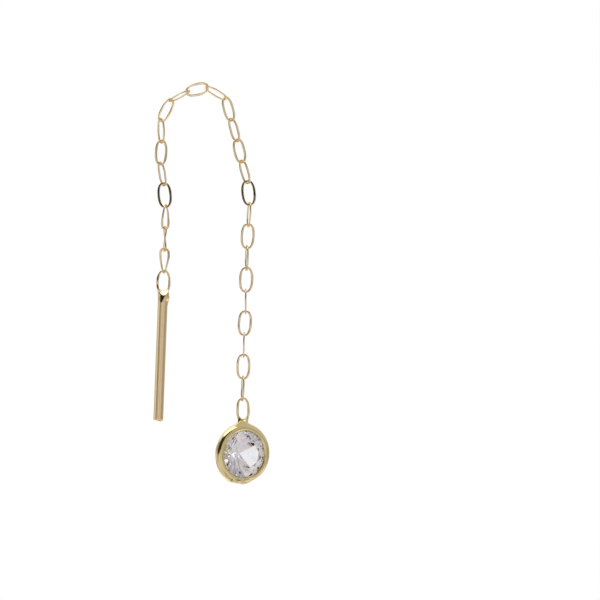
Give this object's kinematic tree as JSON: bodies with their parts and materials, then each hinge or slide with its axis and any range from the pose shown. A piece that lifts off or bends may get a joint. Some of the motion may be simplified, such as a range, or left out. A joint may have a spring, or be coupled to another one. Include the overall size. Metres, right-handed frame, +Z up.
{
  "type": "threader earring",
  "caption": "Threader earring: a fine oval-link chain drawn through a pierced ear, with a slim rod on its back end and a bezel-set round clear stone hanging from its front end.",
  "frame": {"origin": "the middle of the crown link, which lies in the piercing of the ear lobe", "axes": "+Z is up, the chain's arch stands in the XZ plane with the rod's strand on the -X side and the pendant's strand on the +X side, and the stone looks towards -Y, turned 8 degrees towards +X"},
  "size_m": [0.0111, 0.0028, 0.0329],
  "materials": {
    "gold": "polished pale yellow gold with soft wear",
    "stone": "clear colourless stone, polished facets"
  },
  "bodies": {
    "chain": {"chain_link_01": "gold", "chain_link_02": "gold", "chain_link_03": "gold", "chain_link_04": "gold", "chain_link_05": "gold", "chain_link_06": "gold", "chain_link_07": "gold", "chain_link_08": "gold", "chain_link_09": "gold", "chain_link_10": "gold", "chain_link_11": "gold", "chain_link_12": "gold", "chain_link_13": "gold", "chain_link_14": "gold", "chain_link_15": "gold", "chain_link_16": "gold", "chain_link_17": "gold", "chain_link_18": "gold", "chain_link_19": "gold", "chain_link_20": "gold", "chain_link_21": "gold", "chain_link_22": "gold", "chain_link_23": "gold", "chain_link_24": "gold", "chain_link_25": "gold"},
    "bar": {"threader_bar": "gold"},
    "pendant": {"bezel": "gold", "stone": "stone"}
  },
  "joints": [
    {"name": "bar_swing", "type": "hinge", "parent": "chain", "child": "bar", "pos_m": [-0.00251, -0.00043, -0.01481], "axis": [0.9816, -0.1908, 0], "range_deg": [-90, 90]},
    {"name": "pendant_swing", "type": "hinge", "parent": "chain", "child": "pendant", "pos_m": [0.00483, -0.00049, -0.02523], "axis": [0.9903, 0.1392, 0], "range_deg": [-90, 90]}
  ]
}
